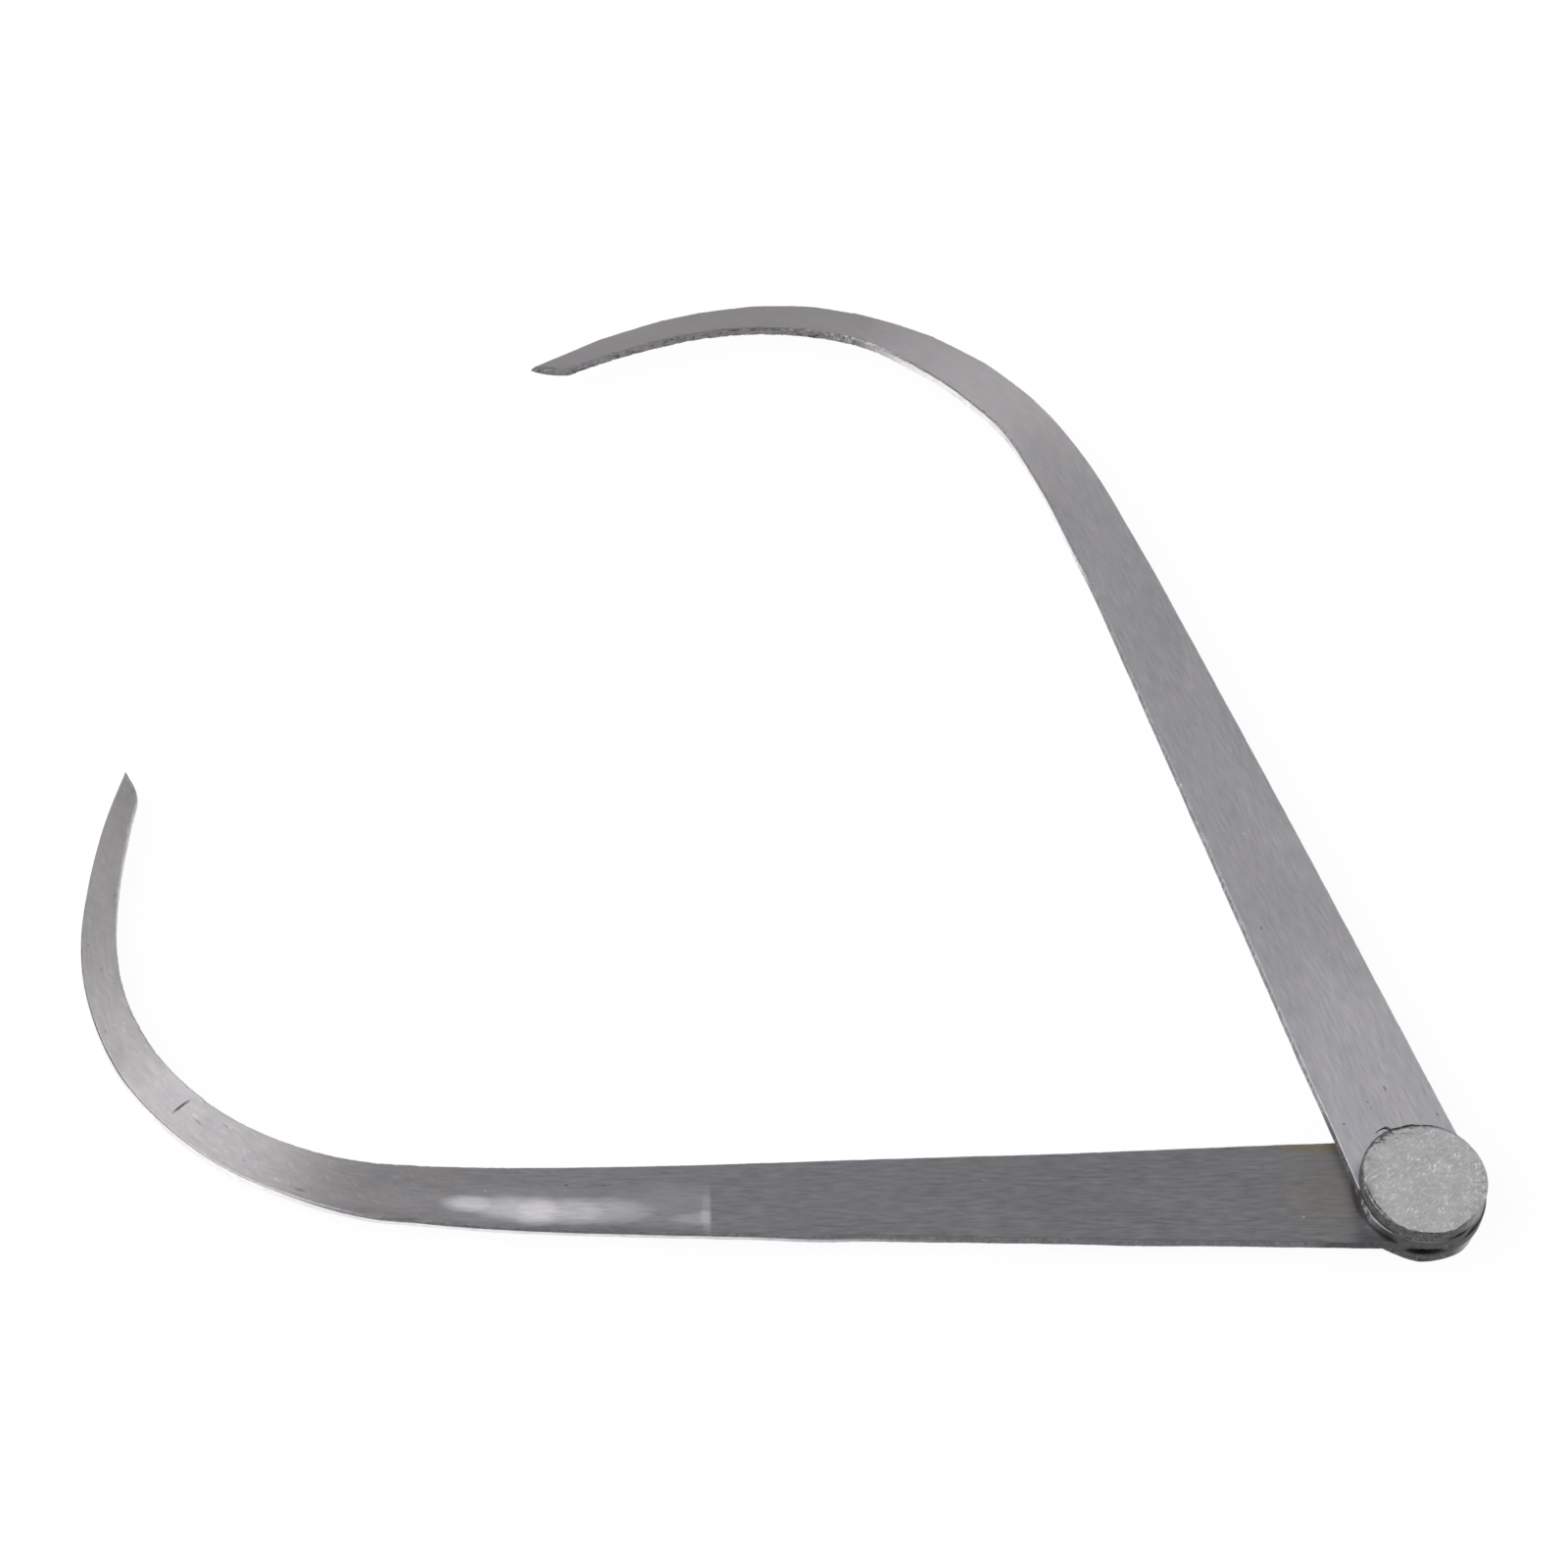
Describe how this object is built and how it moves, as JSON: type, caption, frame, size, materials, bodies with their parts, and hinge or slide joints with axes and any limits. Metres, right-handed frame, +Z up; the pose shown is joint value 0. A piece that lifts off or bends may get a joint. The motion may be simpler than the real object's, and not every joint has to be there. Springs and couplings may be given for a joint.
{
  "type": "outside caliper",
  "caption": "Firm-joint outside caliper: flat steel legs that bow round a workpiece to ground points, held by friction at one broad rivet.",
  "frame": {"origin": "on the rivet's axis, at the underside of the base washer", "axes": "+Z up the rivet, towards its head; -X from the pivot along the lower leg's straight run; +Y towards the side that the upper leg opens to"},
  "size_m": [0.2986, 0.2702, 0.0125],
  "materials": {
    "leg_steel": "brushed along the leg, with darker, rougher cut edges",
    "joint_steel": "hammered and blasted, matt, with a worn rim"
  },
  "bodies": {
    "fixed_leg": {"lower_leg": "leg_steel", "rivet": "joint_steel", "base_washer": "joint_steel"},
    "moving_leg": {"upper_leg": "leg_steel"}
  },
  "joints": [
    {"name": "leg_pivot", "type": "hinge", "parent": "fixed_leg", "child": "moving_leg", "pos_m": [0, 0, 0.0076], "axis": [0, 0, 1], "continuous": true}
  ]
}
